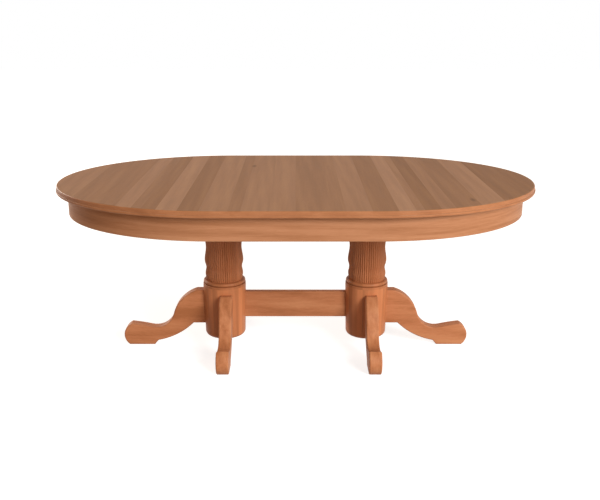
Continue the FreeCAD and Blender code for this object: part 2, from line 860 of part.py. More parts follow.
for side, turn in SIDES.items():
    outward = 1 if turn == 0 else -1
    x = pedestal_x * outward
    drum(side, x, turn)
    shaft(side, x)
    top_plate(side, x)
    leg(side, "outer", "outer", x, turn)
    leg(side, "front", "side", x, -90)
    leg(side, "back", "side", x, 90)
    end_panel(side, turn)
    end_tongues(side, turn)
    end_apron(side, turn)
    end_blocks(side, turn)
    rack(side, turn)
    rack_rail(side, turn)
    near, far = ("front", "back") if turn == 0 else ("back", "front")
    moving_rail(f"{side}_{near}_rail", -s.slide_offset, turn)
    moving_rail(f"{side}_{far}_rail", s.slide_offset, turn)
    leaf_panel(side, turn)
    leaf_apron(side, near, -apron_face, turn)
    leaf_apron(side, far, apron_face - s.apron_thickness, turn)
    leaf_battens(side, turn)
    leaf_blocks(side, turn)

stretcher()
centre_rail("front", -s.slide_offset)
centre_rail("back", s.slide_offset)
gear_board()
pivot()
pinion()

doc.recompute()
failed = [item.Name for item in doc.Objects if {"Invalid", "Error"} & set(item.State)]
for item in sub_parts:
    if item.Shape.isNull() or not item.Shape.isValid() or not item.Shape.Solids:
        failed.append(item.Label)
if failed:
    raise RuntimeError("these pieces did not build: " + ", ".join(failed))

os.makedirs("parts", exist_ok=True)
for item in sub_parts:
    item.Shape.exportStep(f"parts/{item.Label}.step")
print(len(sub_parts), "pieces,", sum(len(item.Shape.Solids) for item in sub_parts), "solids")
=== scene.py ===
import math

import bmesh
import bpy
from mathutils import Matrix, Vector


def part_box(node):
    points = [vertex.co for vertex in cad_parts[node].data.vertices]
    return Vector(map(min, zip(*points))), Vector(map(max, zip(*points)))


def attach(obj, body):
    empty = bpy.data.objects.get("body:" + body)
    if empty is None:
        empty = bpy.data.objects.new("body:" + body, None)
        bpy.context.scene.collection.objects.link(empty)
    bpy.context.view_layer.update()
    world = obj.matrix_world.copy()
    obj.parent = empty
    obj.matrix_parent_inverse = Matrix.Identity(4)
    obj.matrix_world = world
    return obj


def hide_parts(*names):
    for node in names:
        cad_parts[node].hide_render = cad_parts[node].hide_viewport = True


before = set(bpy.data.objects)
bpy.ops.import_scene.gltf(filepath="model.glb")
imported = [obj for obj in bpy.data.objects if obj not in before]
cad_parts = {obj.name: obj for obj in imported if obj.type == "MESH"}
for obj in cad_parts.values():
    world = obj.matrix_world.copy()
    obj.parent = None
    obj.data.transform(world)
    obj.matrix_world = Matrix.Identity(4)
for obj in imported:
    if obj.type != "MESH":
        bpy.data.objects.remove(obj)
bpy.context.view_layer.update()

# Double pedestal dining table over its CAD frame, +Z up. The sizes of its pieces are in millimetres,
# and those of the floor, the lamps and the camera in metres.


# Shafts: two cherry columns, turned in three swells over a bead and then reeded all round.
# Each stands with its tenon in the socket of a drum. The mesh is a stack of rings.
MM = 0.001
SIDES = {"right": 1, "left": -1}
REEDS = 52
REED_POINTS = 8
REED_DEPTH = 4
BAND_RADIUS = 94.5
BAND_HEIGHT = 10
QUIRK = 1
BEAD_RADIUS = 93
BEAD_ARC = 8
BEAD_STEPS = 12
SHAFT_STEP = 8
# Each waist and swell: its height above the foot of the shaft, and the diameter there.
SHAFT_STATIONS = ((0, 160), (26, 167), (55, 158), (87, 171), (148, 158), (226, 175), (357, 157))


def box_of(node):
    """The lowest and highest corners of a CAD node, in millimetres to a tenth."""
    return [[round(c / MM, 1) for c in corner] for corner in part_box(node)]


def middle_of(node):
    """The middle of the box of a CAD node, in millimetres."""
    return [(low + high) / 2 for low, high in zip(*box_of(node))]


def linear(colour):
    """The linear red, green, blue and alpha of an sRGB hex colour."""
    channels = [int(colour[start:start + 2], 16) / 255 for start in (1, 3, 5)]
    return [c / 12.92 if c <= 0.04045 else ((c + 0.055) / 1.055) ** 2.4 for c in channels] + [1]


def add(tree, kind, inputs=None, **settings):
    """Adds a shader node with its settings. An input is a value, or the socket that it is linked from."""
    item = tree.nodes.new("ShaderNode" + kind)
    for name, value in settings.items():
        setattr(item, name, value)
    for name, value in (inputs or {}).items():
        if isinstance(value, bpy.types.NodeSocket):
            tree.links.new(value, item.inputs[name])
        else:
            item.inputs[name].default_value = value
    return item


def new_material(name):
    """An empty material, with its tree, the place of a point in its object, and its surface socket."""
    material = bpy.data.materials.new(name)
    material.use_nodes = True
    tree = material.node_tree
    tree.nodes.clear()
    place = add(tree, "TexCoord").outputs["Object"]
    return material, tree, place, add(tree, "OutputMaterial").inputs["Surface"]


# Grain of cherry and maple, as sizes across it and as shares of the figure.
# Real pores are about 0.1 mm wide. They are drawn coarser, so that they show.
DRIFT_SIZE = 60
STREAK_SIZE = 11
RING_SIZE = 26
PORE_SIZE = 1.5
STREAK_SHARE = 0.45
RING_SHARE = 0.08
PORE_SHARE = 0.15
TONE_STOPS = (0.38, 0.5, 0.62)
ROUGHNESS_SPREAD = 0.12
GRAIN_RELIEF = 0.1
GRAIN_DEPTH = 0.5
# At a scale of 1 the wave texture goes from dark to pale in this distance.
WAVE_BAND = math.pi / 10


def finish_wood(tree, surface, place, stretch, colours, tone, roughness, lacquer=0.2, depth=1):
    """Wood with its figure. stretch squeezes the place along the grain, and colours run from dark to pale.
    tone and depth are the brightness and saturation of a board against its neighbours."""
    along = add(tree, "Mapping", {"Vector": place, "Scale": stretch}).outputs["Vector"]
    drift = add(tree, "TexNoise", {
        "Vector": along, "Scale": 1 / (DRIFT_SIZE * MM), "Detail": 3, "Distortion": 0.8,
    }).outputs["Fac"]
    streaks = add(tree, "TexNoise", {
        "Vector": along, "Scale": 1 / (STREAK_SIZE * MM), "Detail": 6, "Roughness": 0.6,
    }).outputs["Fac"]
    rings = add(tree, "TexWave", {
        "Vector": along, "Scale": WAVE_BAND / (RING_SIZE * MM),
        "Distortion": 9, "Detail": 3, "Detail Scale": 0.4,
    }, bands_direction="DIAGONAL").outputs["Fac"]
    pores = add(tree, "TexNoise", {
        "Vector": along, "Scale": 1 / (PORE_SIZE * MM), "Detail": 2,
    }).outputs["Fac"]
    figure = drift
    for layer, share in ((streaks, STREAK_SHARE), (rings, RING_SHARE), (pores, PORE_SHARE)):
        figure = add(tree, "Mix", {"Factor": share, 2: figure, 3: layer}, data_type="FLOAT").outputs[0]
    ramp = add(tree, "ValToRGB", {"Fac": figure})
    stops = ramp.color_ramp.elements
    stops.new(TONE_STOPS[1])
    for stop, position, colour in zip(stops, TONE_STOPS, colours):
        stop.position = position
        stop.color = linear(colour)
    toned = add(tree, "HueSaturation", {
        "Color": ramp.outputs["Color"], "Value": tone, "Saturation": depth,
    }).outputs["Color"]
    rough = add(tree, "MapRange", {
        "Value": streaks, "To Min": roughness, "To Max": roughness + ROUGHNESS_SPREAD,
    }).outputs["Result"]
    grain = add(tree, "Bump", {
        "Height": figure, "Strength": GRAIN_RELIEF, "Distance": GRAIN_DEPTH * MM,
    }).outputs["Normal"]
    shader = add(tree, "BsdfPrincipled", {
        "Base Color": toned, "Roughness": rough, "Normal": grain, "Specular IOR Level": lacquer,
    })
    tree.links.new(shader.outputs["BSDF"], surface)


# Turned cherry: satin, with its grain up the column, glued up from staves of slightly different tone.
# The reeded shafts are painted a little darker than the drums, as painted shade under the top and aprons.
STAVES = 24
STAVE_TONES = {"reeded_cherry": (0.82, 0.93), "drum_cherry": (0.94, 1.18)}
TURNED_GRAIN = (1, 1, 0.06)
TURNED_COLOURS = ("#B06C43", "#BC7449", "#C47A4E")
TURNED_ROUGHNESS = 0.4
turned = {}
for name, (dark, pale) in STAVE_TONES.items():
    turned[name], tree, place, surface = new_material(name)
    parts = add(tree, "SeparateXYZ", {"Vector": place}).outputs
    angle = add(tree, "Math", {0: parts["Y"], 1: parts["X"]}, operation="ARCTAN2").outputs[0]
    turns = add(tree, "Math", {0: angle, 1: STAVES / math.tau}, operation="MULTIPLY").outputs[0]
    count = add(tree, "Math", {0: turns}, operation="FLOOR").outputs[0]
    own = add(tree, "ObjectInfo").outputs["Random"]
    stave = add(tree, "Math", {0: count, 1: own}, operation="ADD").outputs[0]
    chance = add(tree, "TexWhiteNoise", {"W": stave}, noise_dimensions="1D").outputs["Value"]
    tone = add(tree, "MapRange", {"Value": chance, "To Min": dark, "To Max": pale}).outputs["Result"]
    shift = add(tree, "CombineXYZ", {"X": chance, "Z": stave}).outputs["Vector"]
    place = add(tree, "VectorMath", {0: place, 1: shift}, operation="ADD").outputs["Vector"]
    finish_wood(tree, surface, place, TURNED_GRAIN, TURNED_COLOURS, tone, TURNED_ROUGHNESS)

# Points nearer than SAME_POINT are one, and edges sharper than SHARP_EDGE stay sharp.
# A face whose normal rises by less than UPRIGHT stands upright.
SAME_POINT = 0.001
SHARP_EDGE = math.radians(32)
UPRIGHT = 0.8


def piece(name, skins, body, material, node=None, x=0, turn=0, edge=None):
    """A mesh of closed skins that rides on a body, and replaces a CAD node where one is given.
    A skin is a stack of rings with equal numbers of points, filled at both ends.
    Faces that stand upright take the edge material, where there is one."""
    mesh = bpy.data.meshes.new(name)
    shell = bmesh.new()
    for rings in skins:
        loops = [[shell.verts.new([c * MM for c in point]) for point in ring] for ring in rings]
        for low, high in zip(loops, loops[1:]):
            for index in range(len(low)):
                after = (index + 1) % len(low)
                shell.faces.new((low[index], low[after], high[after], high[index]))
        shell.faces.new(loops[0][::-1])
        shell.faces.new(loops[-1])
    bmesh.ops.remove_doubles(shell, verts=shell.verts, dist=SAME_POINT * MM)
    bmesh.ops.recalc_face_normals(shell, faces=shell.faces)
    shell.to_mesh(mesh)
    shell.free()
    mesh.shade_smooth()
    mesh.set_sharp_from_angle(angle=SHARP_EDGE)
    mesh.materials.append(material)
    if edge:
        mesh.materials.append(edge)
        for face in mesh.polygons:
            face.material_index = int(abs(face.normal.z) < UPRIGHT)
    item = bpy.data.objects.new(name, mesh)
    bpy.context.scene.collection.objects.link(item)
    item.location.x = x * MM
    item.rotation_euler.z = math.radians(turn)
    flats = item.modifiers.new("flats", "WEIGHTED_NORMAL")
    flats.keep_sharp = True
    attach(item, body)
    if node:
        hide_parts(node)


def turned_ring(radius, height, points, groove=0):
    """A level ring round a column, with its reeds where it has grooves between them."""
    ring = []
    for index in range(points):
        angle = math.tau * index / points
        reach = radius - groove * (1 - abs(math.sin(angle * REEDS / 2)))
        ring.append((reach * math.cos(angle), reach * math.sin(angle), height))
    return ring


pedestal_x = middle_of("right_drum")[0]
drum_foot, drum_top = [corner[2] for corner in box_of("right_drum")]
band_top = drum_top + BAND_HEIGHT
bead_middle = band_top + QUIRK + BEAD_ARC
shaft_foot = bead_middle + BEAD_ARC
shaft_points = REEDS * REED_POINTS
shaft_rings = [
    turned_ring(BAND_RADIUS, drum_top, shaft_points),
    turned_ring(BAND_RADIUS, band_top - QUIRK, shaft_points),
    turned_ring(BAND_RADIUS - QUIRK, band_top, shaft_points),
]
for step in range(BEAD_STEPS + 1):
    angle = math.pi * (step / BEAD_STEPS - 0.5)
    reach = BEAD_RADIUS - BEAD_ARC + BEAD_ARC * math.cos(angle)
    shaft_rings.append(turned_ring(reach, bead_middle + BEAD_ARC * math.sin(angle), shaft_points))
shaft_rings.append(turned_ring(SHAFT_STATIONS[0][1] / 2, shaft_foot, shaft_points, REED_DEPTH))
for (low, width_below), (high, width_above) in zip(SHAFT_STATIONS, SHAFT_STATIONS[1:]):
    steps = math.ceil((high - low) / SHAFT_STEP)
    for step in range(1, steps + 1):
        swell = (1 - math.cos(math.pi * step / steps)) / 2
        radius = (width_below + (width_above - width_below) * swell) / 2
        height = shaft_foot + low + (high - low) * step / steps
        shaft_rings.append(turned_ring(radius, height, shaft_points, REED_DEPTH))
for side, way in SIDES.items():
    node = f"{side}_shaft"
    x = pedestal_x * way
    # The shafts take the darker copy of turned cherry, whose lower tone is painted shade.
    piece(f"{node}_turned", [shaft_rings], "base", turned["reeded_cherry"], node, x)


# Drums: stave-built cherry drums, turned with a slight taper and a rounded foot.
# The legs and the stretcher are housed and tenoned into their sides.
DRUM_TOP_RADIUS = 95
DRUM_FOOT_RADIUS = 90
DRUM_ARRIS = 0.4
DRUM_POINTS = 96
FOOT_ROUND = 18
FOOT_STEPS = 8
drum_rings = [
    turned_ring(DRUM_TOP_RADIUS - DRUM_ARRIS, drum_top, DRUM_POINTS),
    turned_ring(DRUM_TOP_RADIUS, drum_top - DRUM_ARRIS, DRUM_POINTS),
]
for step in range(FOOT_STEPS + 1):
    angle = math.pi / 2 * step / FOOT_STEPS
    reach = DRUM_FOOT_RADIUS - FOOT_ROUND + FOOT_ROUND * math.cos(angle)
    height = drum_foot + FOOT_ROUND - FOOT_ROUND * math.sin(angle)
    drum_rings.append(turned_ring(reach, height, DRUM_POINTS))
for side, way in SIDES.items():
    node = f"{side}_drum"
    x = pedestal_x * way
    piece(f"{node}_turned", [drum_rings], "base", turned["drum_cherry"], node, x)


# Legs: sawn from thick cherry boards in one S curve, their arrises rounded over, and glued into the drums.
# Front and back legs are shorter, and stand a little to either side of the pedestal's axis.
LEG_ROUND = 6
LEG_FLAT = 76
KNEE_RADIUS = 158
TOE_RADIUS = 58
BELLY_RADIUS = 307
CURVE_STEPS = 10
ROUND_STEPS = 5
# The way out from the middle of the table, in degrees from +X.
HEADINGS = {"right": 0, "left": 180}
# Corners of the leg seen from its side, clockwise: heights above the floor, and reaches from the axis.
LEG_HEIGHTS = {
    "shoulder": 260, "knee": 148, "ankle": 84, "toe": 99,
    "sole": 0, "heel": 0, "hock": 20, "brace": 105,
}
LEG_REACHES = {
    "outer": {
        "shoulder": 125, "knee": 231, "ankle": 335, "toe": 425,
        "sole": 436, "heel": 322, "hock": 305, "brace": 142,
    },
    "side": {
        "shoulder": 115, "knee": 192, "ankle": 285, "toe": 337,
        "sole": 346, "heel": 258, "hock": 243, "brace": 128,
    },
}

# Sawn cherry: satin, with its grain along the board, which lies along X in its own coordinates.
# The board of the stretcher is a little darker than the legs.
SAWN_TONES = {"leg_cherry": 1, "stretcher_cherry": 0.92}
SAWN_GRAIN = (0.07, 1, 0.6)
SAWN_COLOURS = ("#A6653C", "#BC774D", "#C9865A")
SAWN_ROUGHNESS = 0.48
sawn = {}
for name, tone in SAWN_TONES.items():
    sawn[name], tree, place, surface = new_material(name)
    own = add(tree, "ObjectInfo").outputs["Random"]
    place = add(tree, "VectorMath", {0: place, 1: own}, operation="ADD").outputs["Vector"]
    finish_wood(tree, surface, place, SAWN_GRAIN, SAWN_COLOURS, tone, SAWN_ROUGHNESS)


def sawn_curve(start, finish, bend):
    """The points of an arc after its start, and its heading at the end. It turns by twice its bend."""
    chord = math.atan2(finish[1] - start[1], finish[0] - start[0])
    radius = math.dist(start, finish) / (2 * math.sin(bend))
    points = []
    for step in range(1, CURVE_STEPS + 1):
        angle = chord + bend * (2 * step / CURVE_STEPS - 1)
        across = start[0] + radius * (math.sin(angle) - math.sin(chord - bend))
        points.append((across, start[1] + radius * (math.cos(chord - bend) - math.cos(angle))))
    return points, chord + bend


def bend_right(start, finish, radius):
    """The bend of an arc of a given radius that turns to the right."""
    return -math.asin(math.dist(start, finish) / (2 * radius))


def bend_from(heading, start, finish):
    """The bend of an arc that leaves its start at a heading."""
    return math.remainder(math.atan2(finish[1] - start[1], finish[0] - start[0]) - heading, math.tau)


def leg_outline(reaches):
    """The leg seen from its side, clockwise from the foot of its flat against the drum."""
    corners = [(reaches[name], height) for name, height in LEG_HEIGHTS.items()]
    shoulder, knee, ankle, toe, sole, heel, hock, brace = corners
    over, heading = sawn_curve(shoulder, knee, bend_right(shoulder, knee, KNEE_RADIUS))
    down, heading = sawn_curve(knee, ankle, bend_from(heading, knee, ankle))
    foot, _ = sawn_curve(ankle, toe, bend_from(heading, ankle, toe))
    nose, _ = sawn_curve(toe, sole, bend_right(toe, sole, TOE_RADIUS))
    belly, _ = sawn_curve(hock, brace, bend_right(hock, brace, BELLY_RADIUS))
    flat = [(LEG_FLAT, brace[1]), (LEG_FLAT, shoulder[1])]
    return flat + [shoulder] + over + down + foot + nose + [heel, hock] + belly


def inset(points, distance):
    """A clockwise outline moved inwards by a distance."""
    moved = []
    for before, point, after in zip(points[-1:] + points, points, points[1:] + points[:1]):
        normals = []
        for start, finish in ((before, point), (point, after)):
            length = math.dist(start, finish)
            normals.append(((finish[1] - start[1]) / length, (start[0] - finish[0]) / length))
        (ax, ay), (bx, by) = normals
        share = distance / (1 + ax * bx + ay * by)
        moved.append((point[0] + (ax + bx) * share, point[1] + (ay + by) * share))
    return moved


def rounded_board(points, thickness, easing):
    """The rings of a board of a given outline, with its arrises rounded over on both faces."""
    profile = []
    for step in range(ROUND_STEPS + 1):
        angle = math.pi / 2 * step / ROUND_STEPS
        profile.append((thickness / 2 - easing * (1 - math.cos(angle)), easing * (1 - math.sin(angle))))
    rings = []
    for way, steps in ((-1, profile), (1, profile[::-1])):
        for half, distance in steps:
            rings.append([(reach, way * half, height) for reach, height in inset(points, distance)])
    return rings


leg_low, leg_high = box_of("right_outer_leg")
leg_thickness = leg_high[1] - leg_low[1]
side_offset = middle_of("right_front_leg")[0] - pedestal_x
for side, way in SIDES.items():
    for name, kind, turn, offset in (
        ("outer", "outer", HEADINGS[side], 0),
        ("front", "side", -90, side_offset),
        ("back", "side", 90, -side_offset),
    ):
        node = f"{side}_{name}_leg"
        rings = rounded_board(leg_outline(LEG_REACHES[kind]), leg_thickness, LEG_ROUND)
        x = pedestal_x * way + offset
        piece(f"{node}_sawn", [rings], "base", sawn["leg_cherry"], node, x, turn)


# Stretcher: a plain cherry board on edge between the drums, with a tenon at each end.
# Its long arrises are eased, and its ends are housed in the drums.
STRETCHER_ROUND = 3
stretcher_low, stretcher_high = box_of("stretcher")
stretcher_end = pedestal_x - LEG_FLAT
stretcher_outline = [
    (-stretcher_end, stretcher_low[2]), (-stretcher_end, stretcher_high[2]),
    (stretcher_end, stretcher_high[2]), (stretcher_end, stretcher_low[2]),
]
rings = rounded_board(stretcher_outline, stretcher_high[1] - stretcher_low[1], STRETCHER_ROUND)
piece("stretcher_board", [rings], "base", sawn["stretcher_cherry"], "stretcher")


# Slides and fittings under the top: plain maple rails, plates and blocks, screwed and glued.
# The racks and the pinion are moulded nylon, and the pinion turns on a steel bolt.
BOARD_EASING = 1.2
GEAR_EASING = 0.3
EASING_STEPS = 2
EASED_EDGE = math.radians(40)
WELD = 0.05
CENTRE_RAILS = ("front_centre_rail", "back_centre_rail")
SIDE_BOARDS = (
    "front_rail", "back_rail", "rack_rail", "leaf_battens", "end_blocks", "leaf_blocks", "end_tongues",
)


def ease(node, width, material):
    """Gives a CAD node its material, welds its facets and eases its arrises."""
    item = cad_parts[node]
    item.data.materials.clear()
    item.data.materials.append(material)
    item.data.shade_smooth()
    weld = item.modifiers.new("weld", "WELD")
    weld.merge_threshold = WELD * MM
    bevel = item.modifiers.new("easing", "BEVEL")
    bevel.width = width * MM
    bevel.segments = EASING_STEPS
    bevel.limit_method = "ANGLE"
    bevel.angle_limit = EASED_EDGE
    bevel.harden_normals = True


# Maple: planed and left bare, so it is pale and dull, with its grain along or across the table.
MAPLE_GRAINS = {"lengthwise": (0.05, 1, 1), "crosswise": (1, 0.05, 1)}
MAPLE_COLOURS = ("#9C7146", "#B58A5B", "#C59C6C")
MAPLE_ROUGHNESS = 0.55
maple = {}
for way, grain in MAPLE_GRAINS.items():
    maple[way], tree, place, surface = new_material(f"maple_{way}")
    finish_wood(tree, surface, place, grain, MAPLE_COLOURS, 1, MAPLE_ROUGHNESS)


def clouded(tree, place, size, colours):
    """A colour that drifts between two others, in clouds of a size in millimetres."""
    cloud = add(tree, "TexNoise", {
        "Vector": place, "Scale": 1 / (size * MM), "Detail": 2,
    }).outputs["Fac"]
    one, other = [linear(colour) for colour in colours]
    return add(tree, "Mix", {"Factor": cloud, 6: one, 7: other}, data_type="RGBA").outputs[2]


# Moulded nylon: off-white, slightly clouded.
NYLON_CLOUD = 3
NYLON_COLOURS = ("#CFC9B8", "#DEDACB")
NYLON_ROUGHNESS = 0.45
nylon, tree, place, surface = new_material("moulded_nylon")
colour = clouded(tree, place, NYLON_CLOUD, NYLON_COLOURS)
skin = add(tree, "BsdfPrincipled", {"Base Color": colour, "Roughness": NYLON_ROUGHNESS})
tree.links.new(skin.outputs["BSDF"], surface)

# Zinc-plated steel: dull silver with a fine mottle in its polish.
ZINC_MOTTLE = 2.5
ZINC_COLOUR = "#B9BBBD"
ZINC_SMOOTH = 0.25
ZINC_DULL = 0.45
steel, tree, place, surface = new_material("zinc_plated_steel")
mottle = add(tree, "TexNoise", {
    "Vector": place, "Scale": 1 / (ZINC_MOTTLE * MM), "Detail": 4,
}).outputs["Fac"]
rough = add(tree, "MapRange", {
    "Value": mottle, "To Min": ZINC_SMOOTH, "To Max": ZINC_DULL,
}).outputs["Result"]
skin = add(tree, "BsdfPrincipled", {"Base Color": linear(ZINC_COLOUR), "Metallic": 1, "Roughness": rough})
tree.links.new(skin.outputs["BSDF"], surface)

for node in CENTRE_RAILS:
    ease(node, BOARD_EASING, maple["lengthwise"])
ease("gear_board", BOARD_EASING, maple["crosswise"])
ease("pivot", GEAR_EASING, steel)
ease("pinion", GEAR_EASING, nylon)
for side in SIDES:
    for name in SIDE_BOARDS:
        ease(f"{side}_{name}", BOARD_EASING, maple["lengthwise"])
    ease(f"{side}_top_plate", BOARD_EASING, maple["crosswise"])
    ease(f"{side}_rack", GEAR_EASING, nylon)


# Screws: cross-slot wood screws of plated steel that hold the slides, plates and battens from below.
# Each is a domed head pulled up against its board, with a cross-shaped recess.
HEAD_RADIUS = 4.5
HEAD_DOME = 3.4
HEAD_HEIGHT = 1.6
RECESS_REACH = 2.4
RECESS_WAIST = 0.8
RECESS_DEPTH = 1
SCREW_POINTS = 16
PLATE_SCREW_REACH = 86
BOARD_SCREW_REACH = 28
RAIL_SCREW_SHIFT = 34.4
BATTEN_Y = 330
BATTEN_SCREWS_X = (62, 242)
RACK_SCREWS_X = (400, 560)
RAIL_SCREWS_X = (400, 560, 720)


def screw(x, y, height):
    """The rings of a screw head that hangs at a height."""
    # Two points go round the end of each arm of the cross, and two lie at its waist.
    recess = [RECESS_REACH if index % 4 < 2 else RECESS_WAIST for index in range(SCREW_POINTS)]
    rings = []
    for reaches, drop in (
        ([HEAD_RADIUS] * SCREW_POINTS, 0),
        ([HEAD_RADIUS] * SCREW_POINTS, HEAD_HEIGHT / 2),
        ([HEAD_DOME] * SCREW_POINTS, HEAD_HEIGHT),
        (recess, HEAD_HEIGHT),
        (recess, HEAD_HEIGHT - RECESS_DEPTH),
    ):
        ring = []
        for index, reach in enumerate(reaches):
            angle = math.tau * index / SCREW_POINTS
            ring.append((x + reach * math.cos(angle), y + reach * math.sin(angle), height - drop))
        rings.append(ring)
    return rings


def screws_under(node, along, across):
    """Screws in the underside of a CAD node, at each of the places along and across the table."""
    underside = box_of(node)[0][2]
    return [screw(x, y, underside) for x in along for y in across]


slide_lines = [middle_of(node)[1] for node in CENTRE_RAILS]
rail_lines = [y + RAIL_SCREW_SHIFT for y in slide_lines]
rack_line = middle_of("right_rack_rail")[1]
base_screws = screws_under("gear_board", (-BOARD_SCREW_REACH, BOARD_SCREW_REACH), slide_lines)
for side, way in SIDES.items():
    plate_x = pedestal_x * way
    ends = (plate_x - PLATE_SCREW_REACH, plate_x + PLATE_SCREW_REACH)
    base_screws += screws_under(f"{side}_top_plate", ends, slide_lines)
leaf_screws = screws_under("right_leaf_battens", BATTEN_SCREWS_X, (-BATTEN_Y, BATTEN_Y))
slide_screws = screws_under("right_front_rail", RAIL_SCREWS_X, rail_lines)
slide_screws += screws_under("right_rack_rail", RACK_SCREWS_X, [rack_line])
piece("base_screws", base_screws, "base", steel)
for side in SIDES:
    turn = HEADINGS[side]
    piece(f"{side}_leaf_screws", leaf_screws, f"{side}_leaf", steel, turn=turn)
    piece(f"{side}_slide_screws", slide_screws, f"{side}_top", steel, turn=turn)


# Aprons: cherry bands under the top, bent round the half ovals and straight under the leaves.
# They are glued to the panels with blocks behind, and their lower arrises are rounded.
APRON_ROUND = 3
ARC_STEPS = 5
OVAL_STEPS = 96
panel_low, panel_high = box_of("right_end_panel")
leaf_width = panel_low[0]
table_half = panel_high[0]
half_width = panel_high[1]
end_length = table_half - leaf_width
end_underside = panel_low[2]
leaf_underside = box_of("right_leaf_panel")[0][2]
apron_low, apron_high = box_of("right_leaf_back_apron")
apron_inset = half_width - apron_high[1]
apron_thickness = apron_high[1] - apron_low[1]
apron_foot = apron_low[2]

# Bent cherry: nearly matt, with its grain round the band.
BENT_GRAIN = (0.05, 0.05, 1)
BENT_COLOURS = ("#A46D49", "#B57C57", "#C28963")
BENT_ROUGHNESS = 0.4
BENT_LACQUER = 0.05
bent_cherry, tree, place, surface = new_material("bent_cherry")
finish_wood(tree, surface, place, BENT_GRAIN, BENT_COLOURS, 1, BENT_ROUGHNESS, BENT_LACQUER)


def round_over(across, up, radius, first, last, steps=ARC_STEPS):
    """Points of an arc in a section about a centre, from one angle in degrees to another."""
    points = []
    for step in range(steps + 1):
        angle = math.radians(first + (last - first) * step / steps)
        points.append((across + radius * math.cos(angle), up + radius * math.sin(angle)))
    return points


def apron_section(top):
    """The apron's section as pairs of inset from the rim and height."""
    inside = apron_inset + apron_thickness
    up = apron_foot + APRON_ROUND
    outer = round_over(apron_inset + APRON_ROUND, up, APRON_ROUND, 180, 270)
    inner = round_over(inside - APRON_ROUND, up, APRON_ROUND, 270, 360)
    return [(apron_inset, top)] + outer + inner + [(inside, top)]


def half_oval(inwards, height, way):
    """A level half oval from one end of the seam to the other."""
    points = []
    for step in range(OVAL_STEPS + 1):
        angle = math.pi * (step / OVAL_STEPS - 0.5)
        x = leaf_width + (end_length - inwards) * math.cos(angle)
        points.append((x * way, (half_width - inwards) * math.sin(angle) * way, height))
    return points


for side, way in SIDES.items():
    levels = [half_oval(inwards, height, way) for inwards, height in apron_section(end_underside)]
    bent = list(zip(*levels))
    piece(f"{side}_bent_apron", [bent], f"{side}_top", bent_cherry, f"{side}_end_apron")
    for name, facing in (("front", -1), ("back", 1)):
        section = apron_section(leaf_underside)
        strip = [
            [(x * way, facing * (half_width - inwards), height) for inwards, height in section]
            for x in (0, leaf_width)
        ]
        node = f"{side}_leaf_{name}_apron"
        piece(f"{node}_strip", [strip], f"{side}_leaf", bent_cherry, node)


# Top: half-oval ends and two leaves, edge-glued from cherry boards that run across the table.
# The rim is moulded with a rounded crown over a small step and a rounded foot.
EDGE_STEP = 3
CROWN_ROUND = 6
STEP_DROP = 17
STEP_FALL = 0.4
STEP_ROUND = 2.4
STEP_ARC_STEPS = 3
FOOT_EDGE_ROUND = 5
TONGUE_LINES = (-470, -260, 260, 470)
TONGUE_HALF = 30
SLOT_CLEARANCE = 0.6
table_height = panel_high[2]
step_height = table_height - STEP_DROP
tongues_low, tongues_high = box_of("right_end_tongues")
slot_half = TONGUE_HALF + SLOT_CLEARANCE
slot_top = tongues_high[2] + SLOT_CLEARANCE
slot_start = tongues_low[0] - SLOT_CLEARANCE

# Board cherry: nearly matt, its colours painted greyer than the rim's as a painted sheen of the white room
# on the flat top. Each board has its own tone and stretch of grain, and two have a knot.
# BOARDS gives the right edge of each, from the left, and its grade from -2, dark, to 2, pale.
BOARDS = (
    (-870, 1), (-670, 0), (-605, 2), (-570, 0), (-508, -1), (-430, 2), (-350, -1), (-250, 1), (-200, 0),
    (-100, 1), (0, 1), (130, 0), (175, 0), (272, 1), (372, -1), (435, 2), (465, 0), (530, -2), (585, 0),
    (690, -1), (790, 1), (table_half, -2),
)
GRADES = 2
TONE_SWING = 0.17
DEPTH_SWING = 0.05
KNOTS = ((676, -420), (-192, 300))
KNOT_SIZE = 16
KNOT_SHAPE = (1, 0.35, 1)
KNOT_TONE = 0.6
BOARD_GRAIN = (1, 0.05, 1)
BOARD_COLOURS = ("#977052", "#9F7657", "#A67D5C")
BOARD_ROUGHNESS = 0.42
BOARD_LACQUER = 0.02
board_cherry_painted_sheen, tree, place, surface = new_material("board_cherry_painted_sheen")
across = add(tree, "SeparateXYZ", {"Vector": place}).outputs["X"]
share = add(tree, "MapRange", {
    "Value": across, "From Min": -table_half * MM, "From Max": table_half * MM,
}).outputs["Result"]
layout = add(tree, "ValToRGB", {"Fac": share})
layout.color_ramp.interpolation = "CONSTANT"
stops = layout.color_ramp.elements
stops.remove(stops[1])
start = -table_half
for index, (finish, grade) in enumerate(BOARDS):
    position = (start + table_half) / (2 * table_half)
    stop = stops[0] if index == 0 else stops.new(position)
    # Red carries the grade of a board, and green its number.
    stop.color = (0.5 + grade / GRADES / 2, index / len(BOARDS), 0, 1)
    start = finish
board = add(tree, "SeparateColor", {"Color": layout.outputs["Color"]}).outputs
tone = add(tree, "MapRange", {
    "Value": board["Red"], "To Min": 1 - TONE_SWING, "To Max": 1 + TONE_SWING,
}).outputs["Result"]
depth = add(tree, "MapRange", {
    "Value": board["Red"], "To Min": 1 + DEPTH_SWING, "To Max": 1 - DEPTH_SWING,
}).outputs["Result"]
squeezed = add(tree, "Mapping", {"Vector": place, "Scale": KNOT_SHAPE}).outputs["Vector"]
for x, y in KNOTS:
    spot = [at * scale * MM for at, scale in zip((x, y, table_height), KNOT_SHAPE)]
    away = add(tree, "VectorMath", {0: squeezed, 1: spot}, operation="DISTANCE").outputs["Value"]
    fade = add(tree, "MapRange", {
        "Value": away, "From Max": KNOT_SIZE * MM, "To Min": KNOT_TONE, "To Max": 1,
    }, interpolation_type="SMOOTHSTEP").outputs["Result"]
    tone = add(tree, "Math", {0: tone, 1: fade}, operation="MULTIPLY").outputs[0]
chance = add(tree, "TexWhiteNoise", {"W": board["Green"]}, noise_dimensions="1D").outputs["Color"]
place = add(tree, "VectorMath", {0: place, 1: chance}, operation="ADD").outputs["Vector"]
